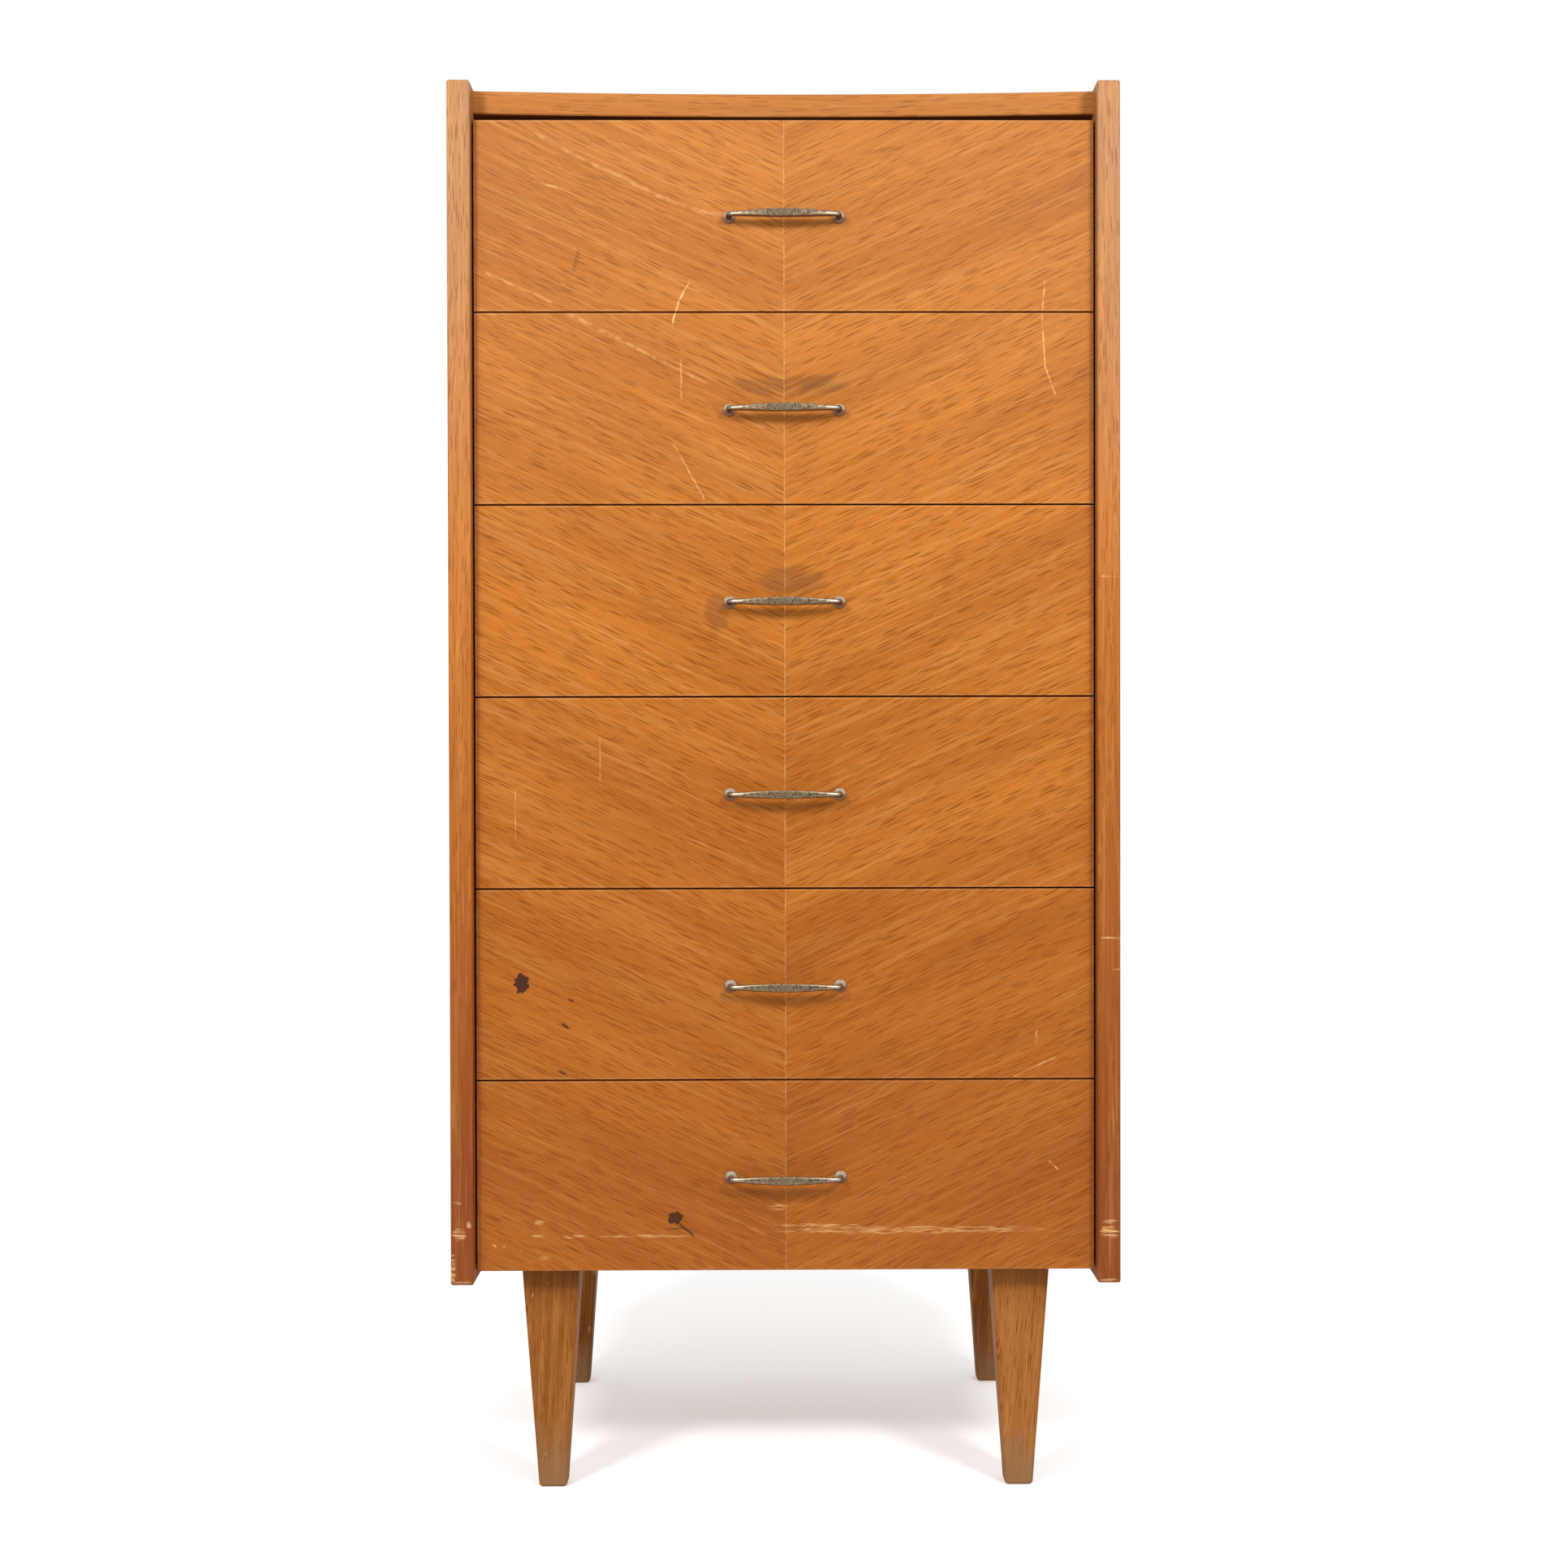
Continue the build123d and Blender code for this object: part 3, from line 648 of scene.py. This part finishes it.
def ring_points(ring):
    """Points round one ring: along the bar, out from the drawer, and up."""
    along, out, turned, half_height, half_depth, power = ring
    points = []
    for i in range(RING_POINTS):
        angle = 2 * math.pi * i / RING_POINTS
        c = math.cos(angle)
        s = math.sin(angle)
        depth = half_depth * math.copysign(abs(c) ** (2 / power), c)
        height = half_height * math.copysign(abs(s) ** (2 / power), s)
        points.append((along + depth * math.cos(turned), out + depth * math.sin(turned), height))
    return points


def handle_mesh():
    """One bow handle, on a drawer face at Y = 0 with its middle at the origin."""
    half = [ring_points(ring) for ring in handle_rings()]
    rings = half + [[(-x, y, z) for x, y, z in ring] for ring in reversed(half[:-1])]
    shape = bmesh.new()
    rows = [[shape.verts.new((x, -y, z)) for x, y, z in ring] for ring in rings]
    for row, following in zip(rows, rows[1:]):
        for i in range(RING_POINTS):
            j = (i + 1) % RING_POINTS
            shape.faces.new((row[i], row[j], following[j], following[i]))
    shape.faces.new(rows[0])
    shape.faces.new(rows[-1])
    bmesh.ops.recalc_face_normals(shape, faces=shape.faces)
    for face in shape.faces:
        face.smooth = True
    mesh = bpy.data.meshes.new("bow_handle")
    shape.to_mesh(mesh)
    shape.free()
    return mesh


def add(name, data):
    """A new object in the scene."""
    thing = bpy.data.objects.new(name, data)
    bpy.context.scene.collection.objects.link(thing)
    return thing


def add_handles(material):
    """A smooth handle on each drawer, in place of the CAD model's."""
    mesh = handle_mesh()
    mesh.materials.append(material)
    for number in range(1, DRAWERS + 1):
        node = f"drawer_{number}_handle"
        low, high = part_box(node)
        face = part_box(f"drawer_{number}_front")[0].y
        handle = add(f"bow_handle_{number}", mesh)
        handle.location = ((low.x + high.x) / 2, face, (low.z + high.z) / 2)
        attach(handle, f"drawer_{number}")
        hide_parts(node)


def dress(material, *nodes):
    """Gives CAD nodes a material."""
    for node in nodes:
        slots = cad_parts[node].data.materials
        slots.clear()
        slots.append(material)


def dress_chest():
    """Materials of all CAD nodes."""
    dress(board_look("oak_side", "z"), "side_panel_left", "side_panel_right")
    dress(board_look("oak_top", "x"), "top_panel", "bottom_panel")
    for node in ("side_lipping_left", "side_lipping_right"):
        dress(lipping_look(node), node)
    dress(board_look("oak_top_lipping", "x"), "top_lipping")
    dress(leg_look("oak_leg_front", LEG_LIGHT, LEG_DARK), "leg_front_left", "leg_front_right")
    # The rear legs get a darker copy of the front legs' look: painted shade
    dress(leg_look("oak_leg_rear_shaded", LEG_DARK, LEG_SHADED), "leg_rear_left", "leg_rear_right")
    sheet = plain_wood_look("plywood", "x", SHEET_LIGHT, SHEET_DARK, BOX_PORE)
    box_side = plain_wood_look("drawer_wood_side", "y", BOX_LIGHT, BOX_DARK, BOX_PORE)
    box_back = plain_wood_look("drawer_wood_back", "x", BOX_LIGHT, BOX_DARK, BOX_PORE)
    beech = plain_wood_look("beech", "y", BEECH_LIGHT, BEECH_DARK, BOX_PORE)
    steel = steel_look()
    dress(back_look(), "back_panel")
    dress(beech, "runners_left", "runners_right", "panel_dowels")
    dress(steel, "leg_bolts")
    for n in range(1, DRAWERS + 1):
        dress(front_look(n), f"drawer_{n}_front")
        dress(box_side, f"drawer_{n}_side_left", f"drawer_{n}_side_right")
        dress(box_back, f"drawer_{n}_back")
        dress(sheet, f"drawer_{n}_bottom")
        dress(steel, f"drawer_{n}_handle_screws")


def add_floor():
    """A pale disc to the horizon."""
    shape = bmesh.new()
    bmesh.ops.create_circle(shape, cap_ends=True, segments=FLOOR_SIDES, radius=FLOOR_RADIUS)
    mesh = bpy.data.meshes.new("studio_floor")
    shape.to_mesh(mesh)
    shape.free()
    mesh.materials.append(floor_look())
    add("studio_floor", mesh)


def aim(thing, target):
    """Turns a light so that it shines at a point."""
    direction = target - thing.location
    thing.rotation_euler = direction.to_track_quat("-Z", "Y").to_euler()


def add_lights():
    """Two soft key lights above the camera, and a white surround."""
    world = bpy.data.worlds.new("studio")
    world.use_nodes = True
    surround = world.node_tree.nodes["Background"]
    surround.inputs["Color"].default_value = (1.0, 1.0, 1.0, 1.0)
    surround.inputs["Strength"].default_value = WORLD_BRIGHTNESS
    bpy.context.scene.world = world
    for name, side in (("key_left", -1), ("key_right", 1)):
        lamp = bpy.data.lights.new(name, "AREA")
        lamp.shape = "DISK"
        lamp.size = KEY_SIZE
        lamp.energy = KEY_POWER
        light = add(name, lamp)
        light.location = (side * KEY_PLACE[0], KEY_PLACE[1], KEY_PLACE[2])
        aim(light, Vector(KEY_TARGET))


def add_camera():
    """The photograph's point of view."""
    lens = bpy.data.cameras.new("photo_camera")
    lens.lens = CAMERA_LENS
    lens.sensor_width = CAMERA_SENSOR
    camera = add("photo_camera", lens)
    turn = Matrix.Rotation(-CAMERA_RIGHT, 4, "Z") @ Matrix.Rotation(math.pi / 2 - CAMERA_DOWN, 4, "X")
    camera.matrix_world = Matrix.Translation(CAMERA_PLACE) @ turn @ Matrix.Rotation(CAMERA_ROLL, 4, "Z")
    bpy.context.scene.camera = camera


dress_chest()
add_handles(brass_look())
add_floor()
add_lights()
add_camera()
bpy.context.scene.view_settings.view_transform = "Standard"
